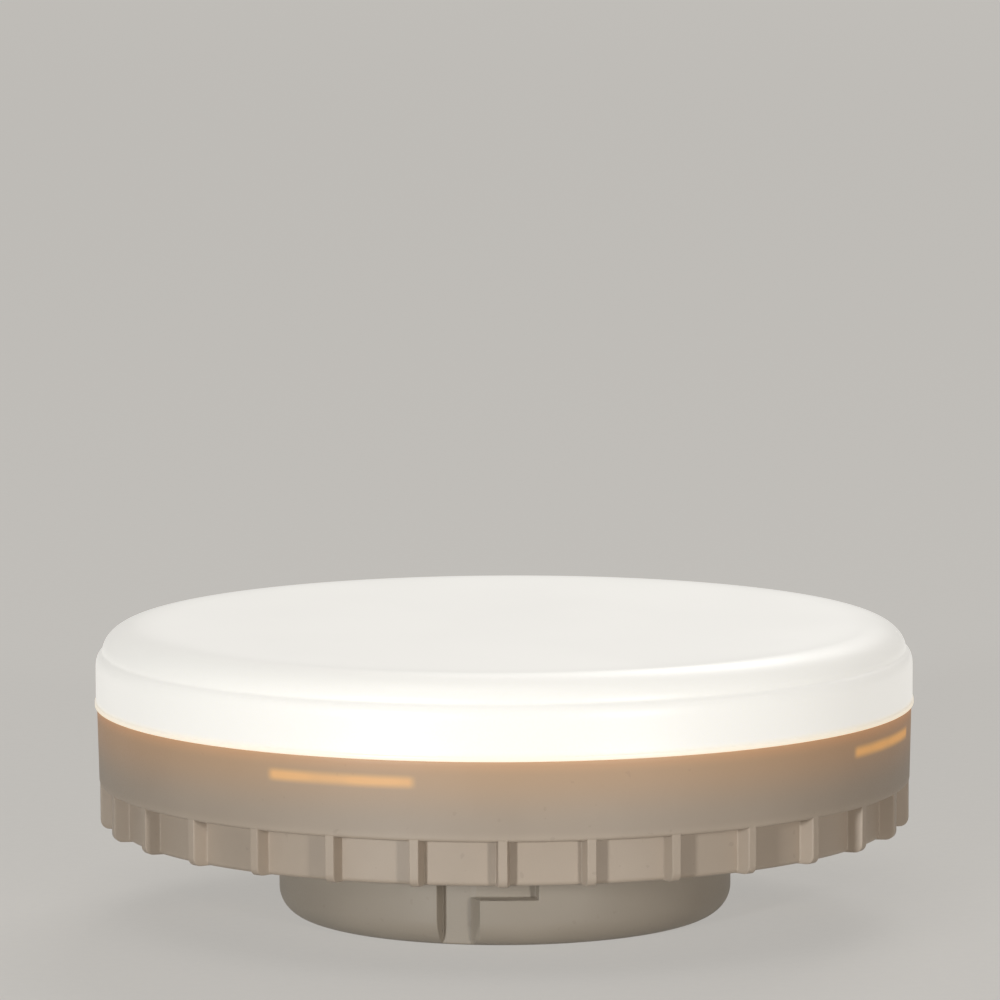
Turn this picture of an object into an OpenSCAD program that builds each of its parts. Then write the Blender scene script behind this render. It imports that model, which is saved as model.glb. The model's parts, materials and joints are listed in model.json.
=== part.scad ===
// Disc lamp for a two-pin twist-and-lock holder: opal cover, ribbed housing with a bayonet hub.
// Origin at the centre of the hub's flat face, +Z towards the lit face, -Y towards the hub's first groove.

/* [Housing] */
// Diameter of the plain band at its upper edge
band_d = 74.8; // [72:0.1:80]
// Height of the plain band
band_h = 7.1; // [6.5:0.1:9]
// How much the band's radius shrinks towards the ribs
band_draft = 0.15; // [0:0.05:0.3]
// Rounding of the band's lower edge
band_edge = 0.3; // [0.1:0.1:0.5]
// Wall of the band around the cover's skirt
band_wall = 1.3; // [1.2:0.1:1.6]
// Depth of the inner ledge below the band's upper edge
ledge_depth = 5.2; // [4.8:0.1:5.8]
// Thickness of the back plate
back_wall = 1.6; // [1.4:0.1:2.2]
// How far the back plate lies above the ribs' lower ends
back_recess = 2; // [1:0.1:2.4]

/* [Ribs] */
// Number of ribs around the edge
rib_count = 30; // [20:1:36]
// Height of the ribs below the band
rib_h = 4.1; // [3.5:0.1:5]
// Radial depth of the bays between the ribs
rib_depth = 1.4; // [0.8:0.1:1.6]
// Width of a rib at its tip
rib_tip_w = 0.8; // [0.5:0.1:1.4]
// Sideways run of each rib flank
rib_flank_w = 0.2; // [0.1:0.05:1]
// Step between the band's lower edge and the ribs' tips
rib_step = 0.05; // [0:0.05:0.2]
// Rounding of the ribs' lower outer corners
rib_round = 0.8; // [0.3:0.1:1]
// Wall behind the bays
bay_wall = 1.5; // [1.3:0.1:2]
// Rounding of the lower edge of the bays
bay_edge = 0.4; // [0.2:0.1:0.6]

/* [Hub] */
// Diameter of the hub
hub_d = 41.6; // [40.5:0.1:43]
// Height of the hub below the ribs
hub_h = 8.3; // [8:0.1:10]
// Rounding of the hub's lower edge
hub_round = 2.5; // [1:0.1:3]
// Side wall of the hub
hub_wall = 1.6; // [1.4:0.1:2]
// Bottom wall of the hub
hub_floor = 1.8; // [1.4:0.1:2.2]
// Depth of the bayonet grooves
groove_depth = 1.4; // [1:0.1:1.6]
// How much deeper and higher the grooves' entry legs are than their locking legs
entry_extra = 0.15; // [0.1:0.05:0.3]
// Wall behind the bayonet grooves
groove_wall = 1.2; // [1:0.1:1.4]
// Angle from the hub's front at which a groove's entry leg starts
groove_start = -16.7; // [-20:0.1:-14]
// Angle that the entry leg takes up
groove_entry = 10.8; // [9:0.1:13]
// Angle by which the entry leg's far wall slopes
groove_slope = 3; // [1:0.1:4]
// Angle that the whole groove takes up
groove_turn = 25.3; // [20:0.1:30]
// Height of the locking leg above the hub's face
groove_ledge = 4.45; // [4:0.05:5]
// Height of the locking leg itself
groove_leg_h = 3.2; // [2.8:0.1:3.4]

/* [Cover] */
// How far the cover's rim stands out beyond the band
cover_over = 0.1; // [0:0.05:0.4]
// Height of the cover above the band
cover_h = 7.3; // [6.5:0.1:9]
// Wall of the cover's top
cover_wall = 1.4; // [1:0.1:2]
// Height of the rim below the small step
rim_h = 4.85; // [4:0.05:5.5]
// Rounding of the rim's upper edge, measured upwards
rim_round_h = 1.3; // [0.8:0.1:1.6]
// Rounding of the rim's upper edge, measured inwards
rim_round_w = 0.6; // [0.3:0.1:0.8]
// Width of the rounded shoulder
shoulder_w = 3.4; // [2:0.1:5]
// How far the bead at the rim's lower edge stands out
bead_w = 0.1; // [0:0.05:0.2]
// Height of that bead
bead_h = 0.4; // [0.2:0.1:0.6]
// Rounding of the cover's inner corner
inner_round = 2; // [1:0.1:3]
// Wall of the skirt inside the band
skirt_wall = 1.2; // [1:0.1:1.4]
// Play between the skirt and the band
skirt_fit = 0.1; // [0.05:0.05:0.2]
// Gap between the skirt and the heat spreader
skirt_gap = 0.2; // [0.1:0.1:0.3]

/* [Snap lugs] */
// Number of lugs on the skirt
lug_count = 4; // [3:1:6]
// Angle of the first lug
lug_turn = -22.5; // [-30:0.5:-15]
// Angle that each lug takes up
lug_angle = 20; // [12:1:24]
// Depth of a lug's middle below the band's upper edge
lug_drop = 1.9; // [1.7:0.1:2.3]
// Height of a lug
lug_h = 0.9; // [0.7:0.1:1.2]
// How far a lug stands out from the skirt
lug_out = 0.6; // [0.4:0.1:0.7]
// Play around a lug in its pocket
lug_fit = 0.15; // [0.1:0.05:0.25]

/* [Contact pins] */
// How much nearer to the hub than to the bays a pin stands, which sets the pins 53 mm apart
pin_shift = 1.05; // [0.5:0.05:1.2]
// Length of a pin below the back plate
pin_len = 5.7; // [5.2:0.1:6.5]
// Diameter of the mushroom head
pin_head_d = 5; // [4.6:0.1:5.2]
// Height of the mushroom head
pin_head_h = 2; // [1.6:0.1:2.4]
// Rounding of the head's free end
pin_round = 0.7; // [0.4:0.1:0.9]
// Bevels at the head's upper edge and at the shank's end
pin_bevel = 0.2; // [0.1:0.05:0.4]
// Diameter of the neck above the head
pin_neck_d = 3.2; // [2.8:0.1:3.4]
// Diameter of the collar that bears on the back plate
pin_collar_d = 4.6; // [4:0.1:5]
// Height of that collar
pin_collar_h = 0.8; // [0.5:0.1:1.2]
// Diameter of the shank through the back plate
pin_shank_d = 3; // [2.4:0.1:3.4]
// Length of the shank above the back plate
pin_tail = 1.4; // [1.2:0.1:1.7]
// Play between the shank and its bore
pin_fit = 0.05; // [0.02:0.01:0.1]
// Diameter of the push-on washer
washer_d = 6.4; // [5.5:0.1:7]
// Thickness of the push-on washer
washer_t = 0.6; // [0.4:0.1:0.7]

/* [Light engine] */
// Thickness of the heat spreader
spreader_t = 1.2; // [0.8:0.1:1.5]
// Play between the heat spreader and the band
spreader_fit = 0.2; // [0.1:0.05:0.4]
// Thickness of the thermal pad
pad_t = 0.3; // [0.2:0.1:0.5]
// How far the thermal pad stays inside the light board's edge
pad_inset = 0.5; // [0.2:0.1:1]
// How much wider the screw holes are in the pad than in the board, on each side
pad_play = 0.2; // [0.1:0.1:0.4]
// Gap between the light board's edge and the cover's skirt
board_gap = 1.5; // [1:0.1:2]
// Thickness of that board
board_t = 1; // [0.8:0.1:1.6]
// Light sources in the outer and the inner ring
led_rings = [16, 8];
// Distance from the screws' circle to the outer ring
led_inset = 5.75; // [5:0.05:7]
// Distance between the two rings
led_ring_gap = 6; // [5:0.1:7]
// Length, width and height of a light source
led_size = [3.5, 2.8, 0.8];
// Number of board screws
screw_count = 3; // [3:1:3]
// Diameter of a board screw
screw_d = 2.9; // [2.5:0.1:3]
// Diameter of a screw's head
screw_head_d = 5.6; // [5:0.1:6]
// Height of a screw's head
screw_head_h = 1.7; // [1.4:0.1:2]
// How deep the screws go into the back plate
screw_bury = 0.6; // [0.3:0.1:0.7]
// Free depth of the pilot holes below the screws
pilot_free = 0.2; // [0.1:0.1:0.4]
// Play around a screw in the boards
screw_play = 0.25; // [0.15:0.05:0.4]
// Play between a screw and its pilot hole
screw_fit = 0.05; // [0.02:0.01:0.1]
// Diameter of a screw boss
boss_d = 6; // [5.5:0.1:6.5]
// Length, width and height of the plug-in terminal
terminal_size = [5.2, 4, 2.1];
// Gap between the lamp wires' hole and the terminal
terminal_gap = 0.4; // [0.3:0.1:1]

/* [Driver] */
// Depth of the driver board below the ledge
driver_drop = 1.9; // [1.8:0.1:2.2]
// Thickness of the driver board
driver_t = 1.2; // [0.8:0.1:1.6]
// Play between the driver board and the hub
driver_fit = 0.2; // [0.15:0.05:0.4]
// Diameter of the posts that carry the driver board
post_d = 3.4; // [3:0.1:3.6]
// Distance of the posts' axes from the driver board's edge
post_inset = 1.8; // [1.7:0.1:2.2]
// Diameter of the peg on a post
peg_d = 1.6; // [1.2:0.1:1.8]
// How far a peg stands out of the board
peg_out = 0.4; // [0.2:0.1:0.8]
// Play around a peg in the board
peg_fit = 0.1; // [0.05:0.05:0.2]
// Thickness of the insulating film
film_t = 0.3; // [0.1:0.1:0.3]
// Play around the insulating film
film_fit = 0.3; // [0.2:0.1:0.6]
// Diameter of the insulated wires
wire_d = 1; // [0.8:0.1:1.1]
// Gap between a wire and what it is soldered to
wire_gap = 0.05; // [0.02:0.01:0.1]
// Where the mains wires meet the driver board
wire_pad = [14.5, 3.5];
// Distance of the lamp wires from the axis plane
lamp_wire_x = 1.3; // [1.2:0.1:1.4]
// Distance of the lamp wires' hole from the axis
wire_hole_y = 3; // [2.8:0.1:3.1]
// Diameter of the lamp wires' hole
wire_hole_d = 5.2; // [5:0.1:5.6]

/* [Parts on the driver board] */
// Diameter and length of the input capacitor
input_cap_size = [8, 12];
// Its middle
input_cap_at = [-5.8, -7.9];
// Diameter and length of the output capacitor
output_cap_size = [6.3, 11];
// Its middle
output_cap_at = [6.4, -8.4];
// Length, width and height of the film capacitor
film_cap_size = [10, 4, 7.5];
// Its middle
film_cap_at = [-8.6, 7.4];
// Diameter and height of the filter choke
choke_size = [6, 7];
// Its middle
choke_at = [-10.2, 0.6];
// Diameter and length of the fusible resistor
fuse_size = [3, 8.6];
// Its middle
fuse_at = [4.6, 13];
// Length, width and height of the bridge rectifier
bridge_size = [4.7, 3.9, 1.3];
// Its middle
bridge_at = [-9, -4];
// Length, width and height of the control chip
chip_size = [4.9, 3.9, 1.3];
// Its middle
chip_at = [6, -4];
// Length, width and height of a chip resistor or chip capacitor
smd_size = [3.2, 1.6, 0.6];
// Middles of the chip resistors
resistor_spots = [[-3, -8], [-3, -11], [6, -9], [10.5, -8]];
// Middles of the chip capacitors
ceramic_spots = [[-6, 8], [6, 9], [10.5, 7]];

/* [Transformer] */
// Width, length and thickness of the core
core_size = [10.2, 11, 4.7];
// Its middle
transformer_at = [4, 4.4];
// Width of the core's centre leg
centre_leg_w = 2.4; // [2:0.1:2.8]
// Width of the core's outer legs
outer_leg_w = 1.2; // [1:0.1:1.4]
// Width of the core's yokes
yoke_w = 1.3; // [1:0.1:1.6]
// Wall of the bobbin's tube
tube_wall = 0.5; // [0.4:0.1:0.7]
// Play between the bobbin and the core
tube_fit = 0.1; // [0.05:0.05:0.2]
// Thickness of the winding
winding_t = 0.8; // [0.5:0.1:1]
// How far the flanges stand out above the winding
flange_lip = 0.2; // [0.1:0.1:0.4]
// Gap between the flanges and the core's outer legs
flange_gap = 0.2; // [0.1:0.1:0.4]
// Thickness of the flanges
flange_w = 0.6; // [0.4:0.1:0.8]
// Gap between the flanges' upper edges and the driver board, bridged by their feet
bobbin_feet = 0.6; // [0.4:0.1:0.8]

/* [Hidden] */
$fn = 96;

// Overlap of joined solids and overshoot of cuts
lap = 0.5;

// Heights above the hub's face
z_rib = hub_h;
z_back = z_rib + back_recess;
z_floor = z_back + back_wall;
z_band = z_rib + rib_h;
z_joint = z_band + band_h;
z_ledge = z_joint - ledge_depth;
z_spreader = z_ledge + spreader_t;
z_board = z_spreader + pad_t;
z_led = z_board + board_t;
z_skirt = z_spreader + skirt_gap;
z_lug = z_joint - lug_drop;
z_top = z_joint + cover_h;
z_driver_top = z_ledge - driver_drop;
z_driver = z_driver_top - driver_t;
z_film = z_ledge - film_t;
z_pin_tip = z_back - pin_len;

// Radii
band_r = band_d / 2;
band_low_r = band_r - band_draft;
band_in_r = band_r - band_wall;
rib_tip_r = band_low_r - rib_step;
bay_r = rib_tip_r - rib_depth;
bay_in_r = bay_r - bay_wall;
hub_r = hub_d / 2;
hub_in_r = hub_r - hub_wall;
groove_r = hub_r - groove_depth;
groove_in_r = groove_r - groove_wall;
cover_r = band_r + cover_over;
skirt_r = band_in_r - skirt_fit;
skirt_in_r = skirt_r - skirt_wall;
lug_r = skirt_r + lug_out;
board_r = skirt_in_r - board_gap;
driver_r = groove_in_r - driver_fit;
post_ring_r = driver_r - post_inset;
screw_ring_r = (hub_in_r + bay_in_r) / 2;
led_outer_r = screw_ring_r - led_inset;
led_radii = [led_outer_r, led_outer_r - led_ring_gap];
pin_x = (hub_r + bay_in_r) / 2 - pin_shift;

// Distance of the terminal's wire side from the axis
terminal_y = wire_hole_y + wire_hole_d / 2 + terminal_gap;

// Angles
front = -90;
posts = [0, 120, 240];
screws = [for (i = [0:screw_count - 1]) 90 + i * 360 / screw_count];

function polar(r, a) = [r * cos(a), r * sin(a)];

// Points of an elliptical arc about c, from angle a0 to a1
function arc(c, rx, ry, a0, a1, n = 8) =
    [for (i = [0:n]) let (a = a0 + (a1 - a0) * i / n) c + [rx * cos(a), ry * sin(a)]];

function smooth(t) = t * t * (3 - 2 * t);

module at_each(angles, r) {
    for (a = angles)
        rotate(a) translate([r, 0, 0]) children();
}

// A round wire through the points of path, which lie in a plane square to across
module wire(path, across) {
    sides = 8;
    last = len(path) - 1;
    r = wire_d / 2;
    rings = [for (i = [0:last])
        let (
            run = path[min(i + 1, last)] - path[max(i - 1, 0)],
            along = run / norm(run),
            up = cross(across, along)
        )
        for (k = [0:sides - 1])
            path[i] + r * (cos(k * 360 / sides) * across + sin(k * 360 / sides) * up)];
    walls = [for (i = [0:last - 1], k = [0:sides - 1])
        let (next = (k + 1) % sides)
        [i * sides + k, i * sides + next, (i + 1) * sides + next, (i + 1) * sides + k]];
    start_face = [for (k = [sides - 1:-1:0]) k];
    end_face = [for (k = [0:sides - 1]) last * sides + k];
    polyhedron(points = rings, faces = concat([start_face], walls, [end_face]));
}

// Housing: one moulding

module housing_wall() {
    rotate_extrude()
        polygon(concat(
            [[0, 0]],
            arc([hub_r - hub_round, hub_round], hub_round, hub_round, -90, 0),
            [
                [hub_r, z_back],
                [bay_in_r, z_back],
                [bay_in_r, z_rib]
            ],
            arc([bay_r - bay_edge, z_rib + bay_edge], bay_edge, bay_edge, -90, 0, 4),
            [[bay_r, z_band]],
            arc([band_low_r - band_edge, z_band + band_edge], band_edge, band_edge, -90, 0, 4),
            [
                [band_r, z_joint],
                [band_in_r, z_joint],
                [band_in_r, z_ledge],
                [bay_in_r, z_ledge],
                [bay_in_r, z_floor],
                [hub_in_r, z_floor],
                [hub_in_r, hub_floor],
                [0, hub_floor]
            ]
        ));
}

module rib_outline() {
    half_tip = rib_tip_w / 2;
    half_root = half_tip + rib_flank_w * (rib_depth + lap) / rib_depth;
    polygon([
        [bay_r - lap, -half_root],
        [rib_tip_r, -half_tip],
        [rib_tip_r + lap, -half_tip],
        [rib_tip_r + lap, half_tip],
        [rib_tip_r, half_tip],
        [bay_r - lap, half_root]
    ]);
}

module ribs() {
    intersection() {
        for (i = [0:rib_count - 1])
            rotate(front + i * 360 / rib_count)
                translate([0, 0, z_rib])
                    linear_extrude(rib_h + lap)
                        rib_outline();
        rotate_extrude()
            polygon(concat(
                [[bay_in_r, z_rib]],
                arc([rib_tip_r - rib_round, z_rib + rib_round], rib_round, rib_round, -90, 0, 5),
                [
                    [rib_tip_r, z_band + lap],
                    [bay_in_r, z_band + lap]
                ]
            ));
    }
}

// Entry leg, open at the hub's face and sloped on one side, and locking leg of one bayonet groove
module groove() {
    floor_r = groove_r - entry_extra;
    inside = groove_entry / 3;
    rotate(front + groove_start) {
        translate([0, 0, -lap])
            linear_extrude(groove_ledge + groove_leg_h + entry_extra + lap)
                polygon([
                    polar(floor_r, 0),
                    polar(hub_r + lap, 0),
                    polar(hub_r + lap, groove_entry + groove_slope * lap / groove_depth),
                    polar(floor_r, groove_entry - groove_slope)
                ]);
        rotate(inside)
            rotate_extrude(angle = groove_turn - inside)
                translate([groove_r, groove_ledge])
                    square([groove_depth + 2 * lap, groove_leg_h]);
    }
}

// Thicker wall behind one groove, inside the hub
module groove_backing() {
    margin = 3;
    rotate(front + groove_start - margin)
        rotate_extrude(angle = groove_turn + 2 * margin)
            translate([groove_in_r, hub_floor - lap])
                square([hub_in_r - groove_in_r + lap, z_floor - hub_floor + lap]);
}

module lug_pocket() {
    slack = 2 * lug_fit * 180 / (PI * lug_r);
    rotate(lug_turn - lug_angle / 2 - slack)
        rotate_extrude(angle = lug_angle + 2 * slack)
            translate([band_in_r - lap, z_lug - lug_h / 2 - lug_fit])
                square([lug_r + lug_fit - band_in_r + lap, lug_h + 2 * lug_fit]);
}

module housing() {
    pilot_z = z_floor - screw_bury - pilot_free;
    color("#9c9486")
    difference() {
        union() {
            housing_wall();
            ribs();
            for (turn = [0, 180]) rotate(turn) groove_backing();
            at_each(screws, screw_ring_r)
                translate([0, 0, z_floor - lap])
                    cylinder(d = boss_d, h = z_ledge - z_floor + lap);
            at_each(posts, post_ring_r) {
                translate([0, 0, hub_floor - lap])
                    cylinder(d = post_d, h = z_driver - hub_floor + lap);
                translate([0, 0, z_driver - lap])
                    cylinder(d = peg_d, h = driver_t + peg_out + lap);
            }
        }
        for (turn = [0, 180]) rotate(turn) groove();
        for (i = [0:lug_count - 1]) rotate(i * 360 / lug_count) lug_pocket();
        at_each(screws, screw_ring_r)
            translate([0, 0, pilot_z])
                cylinder(d = screw_d + 2 * screw_fit, h = z_ledge - pilot_z + lap);
        for (side = [-1, 1])
            translate([side * pin_x, 0, z_back - lap])
                cylinder(d = pin_shank_d + 2 * pin_fit, h = back_wall + 2 * lap);
    }
}

// Cover

function shoulder_line(r, h, top) =
    arc([r - shoulder_w, top - h], shoulder_w, h, 0, 90, 10);

module diffuser() {
    rim_z = z_joint + rim_h;
    step_r = cover_r - rim_round_w;
    shoulder_h = cover_h - rim_h;
    inner_top = z_top - cover_wall;
    color("#fbf3e2")
    union() {
        rotate_extrude()
            polygon(concat(
                [
                    [skirt_in_r, z_skirt],
                    [skirt_r, z_skirt],
                    [skirt_r, z_joint],
                    [cover_r + bead_w, z_joint],
                    [cover_r + bead_w, z_joint + bead_h],
                    [cover_r, z_joint + bead_h + bead_w]
                ],
                arc([step_r, rim_z - rim_round_h], rim_round_w, rim_round_h, 0, 80, 5),
                shoulder_line(step_r, shoulder_h, z_top),
                [[0, z_top], [0, inner_top]],
                arc([skirt_in_r - inner_round, inner_top - inner_round], inner_round, inner_round, 90, 0, 4)
            ));
        for (i = [0:lug_count - 1])
            rotate(lug_turn - lug_angle / 2 + i * 360 / lug_count)
                rotate_extrude(angle = lug_angle)
                    polygon([
                        [skirt_r - lap, z_lug - lug_h / 2],
                        [skirt_r + lug_out / 3, z_lug - lug_h / 2],
                        [lug_r, z_lug - lug_h / 6],
                        [lug_r, z_lug + lug_h / 2],
                        [skirt_r - lap, z_lug + lug_h / 2]
                    ]);
    }
}

// Light engine

module plate(r, z, t) {
    difference() {
        translate([0, 0, z]) cylinder(r = r, h = t);
        translate([0, wire_hole_y, z - lap]) cylinder(d = wire_hole_d, h = t + 2 * lap);
        at_each(screws, screw_ring_r)
            translate([0, 0, z - lap]) children();
    }
}

module heat_spreader() {
    color("#c9ccd0")
    plate(band_in_r - spreader_fit, z_ledge, spreader_t)
        cylinder(r = screw_d / 2 + screw_play, h = spreader_t + 2 * lap);
}

module thermal_pad() {
    color("#8f9aa6")
    plate(board_r - pad_inset, z_spreader, pad_t)
        cylinder(r = screw_d / 2 + screw_play + pad_play, h = pad_t + 2 * lap);
}

module led_board() {
    color("#f2f2ee")
    plate(board_r, z_board, board_t)
        cylinder(r = screw_d / 2 + screw_play, h = board_t + 2 * lap);
}

module led_packages() {
    color("#f0d25a")
    for (ring = [0, 1])
        for (i = [0:led_rings[ring] - 1])
            rotate((i + 0.5) * 360 / led_rings[ring])
                translate([led_radii[ring], 0, z_led + led_size[2] / 2])
                    cube([led_size[1], led_size[0], led_size[2]], center = true);
}

module lamp_terminal() {
    mouth_d = wire_d + 0.4;
    mouth_depth = 1.5;
    mouth_z = z_led + terminal_size[2] / 2;
    color("#f4f1e6")
    difference() {
        translate([-terminal_size[0] / 2, terminal_y, z_led]) cube(terminal_size);
        for (side = [-1, 1])
            translate([side * lamp_wire_x, terminal_y - lap, mouth_z])
                rotate([-90, 0, 0]) cylinder(d = mouth_d, h = mouth_depth + lap);
    }
}

module board_screws() {
    shank_z = z_floor - screw_bury;
    slot = [3, 0.6, 0.9];
    edge = 1;
    color("#b9bcc0")
    at_each(screws, screw_ring_r)
        difference() {
            union() {
                translate([0, 0, shank_z]) cylinder(d = screw_d, h = z_led - shank_z + lap);
                rotate_extrude()
                    polygon(concat(
                        [[0, z_led], [screw_head_d / 2, z_led]],
                        arc([screw_head_d / 2 - edge, z_led + screw_head_h - edge], edge, edge, 0, 90, 4),
                        [[0, z_led + screw_head_h]]
                    ));
            }
            for (turn = [0, 90])
                rotate(turn)
                    translate([-slot[0] / 2, -slot[1] / 2, z_led + screw_head_h - slot[2]])
                        cube([slot[0], slot[1], slot[2] + lap]);
        }
}

// Contact pins

module contact_pin() {
    head_r = pin_head_d / 2;
    head_top = z_pin_tip + pin_head_h;
    tail_z = z_floor + pin_tail;
    rotate_extrude()
        polygon(concat(
            [[0, z_pin_tip]],
            arc([head_r - pin_round, z_pin_tip + pin_round], pin_round, pin_round, -90, 0, 5),
            [
                [head_r, head_top - pin_bevel],
                [head_r - pin_bevel, head_top],
                [pin_neck_d / 2, head_top],
                [pin_neck_d / 2, z_back - pin_collar_h],
                [pin_collar_d / 2, z_back - pin_collar_h],
                [pin_collar_d / 2, z_back],
                [pin_shank_d / 2, z_back],
                [pin_shank_d / 2, tail_z - pin_bevel],
                [pin_shank_d / 2 - pin_bevel, tail_z],
                [0, tail_z]
            ]
        ));
}

module contact_pin_left() {
    color("#c8b06a") translate([-pin_x, 0, 0]) contact_pin();
}

module contact_pin_right() {
    color("#c8b06a") translate([pin_x, 0, 0]) contact_pin();
}

module pin_washers() {
    color("#a9adb2")
    for (side = [-1, 1])
        translate([side * pin_x, 0, z_floor])
            difference() {
                cylinder(d = washer_d, h = washer_t);
                translate([0, 0, -lap])
                    cylinder(d = pin_shank_d + 2 * pin_fit, h = washer_t + 2 * lap);
            }
}

// Driver

module insulating_film() {
    color("#e9e2b8")
    plate(bay_in_r - film_fit, z_film, film_t)
        cylinder(r = boss_d / 2 + film_fit, h = film_t + 2 * lap);
}

module driver_board() {
    color("#2f7a4c")
    difference() {
        translate([0, 0, z_driver]) cylinder(r = driver_r, h = driver_t);
        at_each(posts, post_ring_r)
            translate([0, 0, z_driver - lap])
                cylinder(d = peg_d + 2 * peg_fit, h = driver_t + 2 * lap);
    }
}

// A can on its side under the board, with its crimp, and two leads bent up to the board
module lying_can(size) {
    r = size[0] / 2;
    length = size[1];
    bevel = 0.5;
    crimp = 0.35;
    crimp_half = 0.15;
    crimp_slope = 0.4;
    crimp_at = length / 2 - 1.85;
    lead_out = 1.2;
    lead_d = 0.6;
    translate([0, 0, z_driver - r - wire_gap]) {
        rotate([0, 90, 0])
            rotate_extrude()
                polygon([
                    [0, -length / 2],
                    [r - bevel, -length / 2],
                    [r, -length / 2 + bevel],
                    [r, crimp_at - crimp_half - crimp_slope],
                    [r - crimp, crimp_at - crimp_half],
                    [r - crimp, crimp_at + crimp_half],
                    [r, crimp_at + crimp_half + crimp_slope],
                    [r, length / 2 - bevel],
                    [r - bevel, length / 2],
                    [0, length / 2]
                ]);
        for (side = [-1, 1])
            translate([length / 2, side * r / 3, 0]) {
                translate([-lap, 0, 0]) rotate([0, 90, 0])
                    cylinder(d = lead_d, h = lead_out + lap, $fn = 16);
                translate([lead_out, 0, -lead_d / 2])
                    cylinder(d = lead_d, h = r + wire_gap + lead_d / 2, $fn = 16);
            }
    }
}

module input_capacitor() {
    color("#3c3f58") translate(input_cap_at) rotate(180) lying_can(input_cap_size);
}

module output_capacitor() {
    color("#33363b") translate(output_cap_at) lying_can(output_cap_size);
}

module film_capacitor() {
    color("#b5452f")
    translate([film_cap_at[0], film_cap_at[1], z_driver - film_cap_size[2] / 2])
        cube(film_cap_size, center = true);
}

module filter_choke() {
    flange_t = 0.9;
    r = choke_size[0] / 2;
    waist_r = r - 0.7;
    foot = z_driver - choke_size[1];
    color("#4a4038")
    translate(choke_at)
        rotate_extrude()
            polygon([
                [0, foot],
                [r, foot],
                [r, foot + flange_t],
                [waist_r, foot + flange_t],
                [waist_r, z_driver - flange_t],
                [r, z_driver - flange_t],
                [r, z_driver],
                [0, z_driver]
            ]);
}

module fusible_resistor() {
    r = fuse_size[0] / 2;
    half = fuse_size[1] / 2;
    waist = 0.25;
    bevel = 0.4;
    cap_l = 1.8;
    cap_slope = 0.6;
    color("#7fb0a0")
    translate([fuse_at[0], fuse_at[1], z_driver - r - wire_gap])
        rotate([0, 90, 0])
            rotate_extrude()
                polygon([
                    [0, -half],
                    [r - bevel, -half],
                    [r, -half + bevel],
                    [r, -half + cap_l],
                    [r - waist, -half + cap_l + cap_slope],
                    [r - waist, half - cap_l - cap_slope],
                    [r, half - cap_l],
                    [r, half - bevel],
                    [r - bevel, half],
                    [0, half]
                ]);
}

// Transformer: the winding's axis runs along Y under the driver board
window_l = core_size[1] - 2 * yoke_w;
inner_leg_x = core_size[0] / 2 - outer_leg_w;
hole_half = [centre_leg_w / 2 + tube_fit, core_size[2] / 2 + tube_fit];
tube_half = hole_half + [tube_wall, tube_wall];
coil_half = tube_half + [winding_t, winding_t];
flange_half = [inner_leg_x - flange_gap, coil_half[1] + flange_lip];
transformer_z = z_driver - bobbin_feet - flange_half[1];

module transformer_core() {
    window_w = inner_leg_x - centre_leg_w / 2;
    color("#3b3a3c")
    translate([transformer_at[0], transformer_at[1], transformer_z])
        difference() {
            cube(core_size, center = true);
            for (side = [-1, 1])
                translate([side * (centre_leg_w + window_w) / 2, 0, 0])
                    cube([window_w, window_l, core_size[2] + 2 * lap], center = true);
        }
}

module transformer_bobbin() {
    length = window_l - 2 * tube_fit;
    color("#25262a")
    translate([transformer_at[0], transformer_at[1], transformer_z])
        difference() {
            union() {
                cube([2 * tube_half[0], length, 2 * tube_half[1]], center = true);
                for (side = [-1, 1])
                    translate([-flange_half[0], (side * (length - flange_w) - flange_w) / 2, -flange_half[1]])
                        cube([2 * flange_half[0], flange_w, 2 * flange_half[1] + bobbin_feet]);
            }
            cube([2 * hole_half[0], length + 2 * lap, 2 * hole_half[1]], center = true);
        }
}

module transformer_winding() {
    length = window_l - 2 * tube_fit - 2 * flange_w;
    color("#c9a227")
    translate([transformer_at[0], transformer_at[1], transformer_z])
        difference() {
            cube([2 * coil_half[0], length, 2 * coil_half[1]], center = true);
            cube([2 * tube_half[0], length + 2 * lap, 2 * tube_half[1]], center = true);
        }
}

module bridge_rectifier() {
    color("#202124")
    translate([bridge_at[0], bridge_at[1], z_driver_top + bridge_size[2] / 2])
        cube(bridge_size, center = true);
}

module control_chip() {
    color("#202124")
    translate([chip_at[0], chip_at[1], z_driver_top + chip_size[2] / 2])
        cube(chip_size, center = true);
}

module chip_resistors() {
    color("#1d1d20")
    for (spot = resistor_spots)
        translate([spot[0], spot[1], z_driver_top + smd_size[2] / 2]) cube(smd_size, center = true);
}

module chip_capacitors() {
    color("#a9825a")
    for (spot = ceramic_spots)
        translate([spot[0], spot[1], z_driver_top + smd_size[2] / 2]) cube(smd_size, center = true);
}

// Wires

module pin_wire(side) {
    steps = 10;
    start = [pin_x - pin_shank_d / 2 - wire_gap, 0];
    height = max(z_driver_top, z_floor + washer_t) + wire_d / 2 + wire_gap;
    wire([for (i = [0:steps])
        let (t = i / steps)
        [
            side * (start[0] + (wire_pad[0] - start[0]) * t),
            start[1] + (wire_pad[1] - start[1]) * smooth(t),
            height
        ]], [0, 0, side]);
}

module pin_wire_left() {
    color("#3a6ea8") pin_wire(-1);
}

module pin_wire_right() {
    color("#7a4a2e") pin_wire(1);
}

// From the driver board up through the plates, then over into the terminal
module lamp_wire(side) {
    bend = 1.2;
    reach = 1;
    x = side * lamp_wire_x;
    top_z = z_led + terminal_size[2] / 2;
    wire(concat(
        [[x, wire_hole_y, z_driver_top + wire_gap], [x, wire_hole_y, z_ledge]],
        [for (a = [0:15:90])
            [x, wire_hole_y + bend * (1 - cos(a)), top_z - bend * (1 - sin(a))]],
        [[x, terminal_y + reach, top_z]]
    ), [1, 0, 0]);
}

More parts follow.
